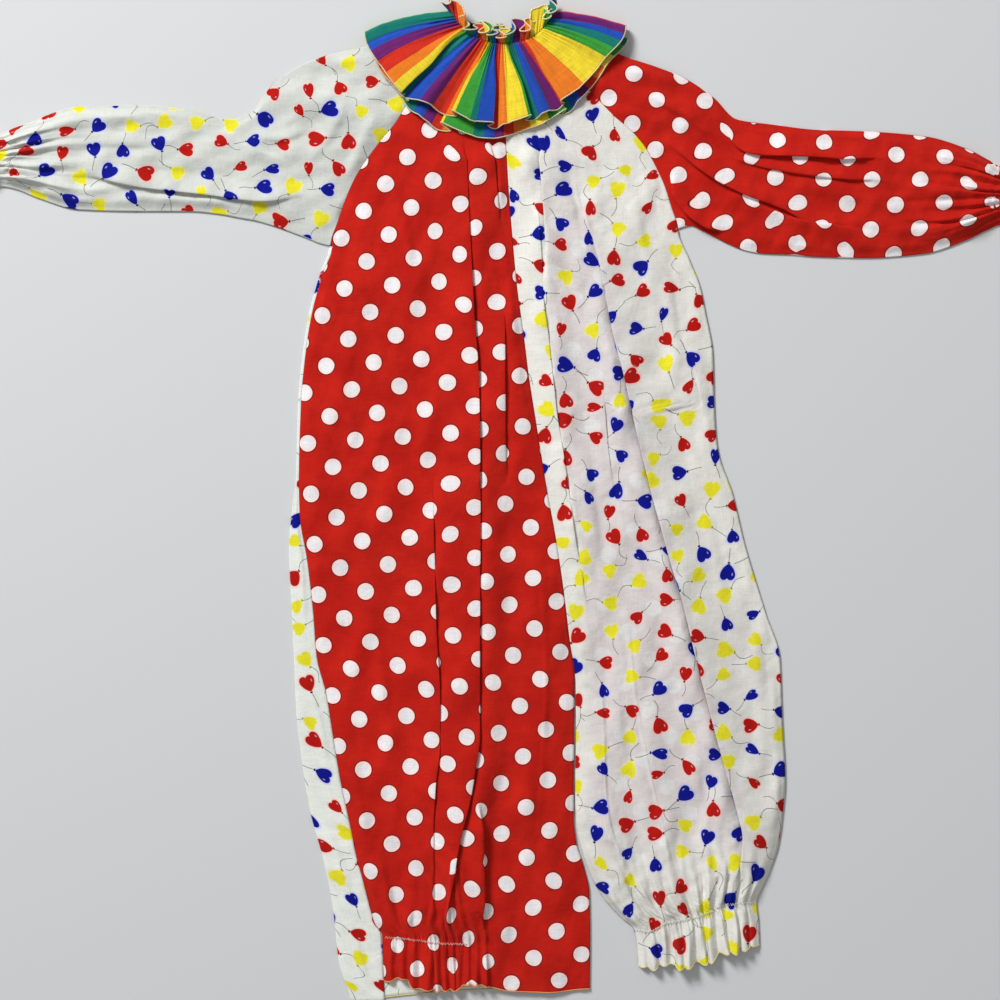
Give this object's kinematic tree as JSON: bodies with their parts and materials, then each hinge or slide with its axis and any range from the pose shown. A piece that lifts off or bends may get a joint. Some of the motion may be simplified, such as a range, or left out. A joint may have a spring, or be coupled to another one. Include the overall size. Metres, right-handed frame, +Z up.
{
  "type": "clown costume",
  "caption": "One-piece clown suit laid flat on its back: loose body and legs in two clashing prints, raglan sleeves, elastic wrists and ankles, and a two-layer striped ruffle collar.",
  "frame": {"origin": "on the surface the suit lies on, under the middle of its outline", "axes": "+Z up off the surface; +Y from the hems to the neck; +X to the wearer's left, along the spread sleeves"},
  "size_m": [1.2506, 1.1808, 0.0205],
  "materials": {
    "red_polka_dot": "matt plain-weave cotton blend, red with white dots in a half-drop layout",
    "white_balloon": "matt thin plain-weave cotton blend, white with scattered blue, red and yellow heart balloons",
    "rainbow_stripe": "matt plain-weave cotton blend in seven bright stripes"
  },
  "bodies": {
    "root": {"front_right": "red_polka_dot", "front_left": "white_balloon", "back_right": "white_balloon", "back_left": "red_polka_dot", "sleeve_right": "white_balloon", "sleeve_left": "red_polka_dot", "collar_long": "rainbow_stripe", "collar_short": "rainbow_stripe"}
  },
  "joints": []
}
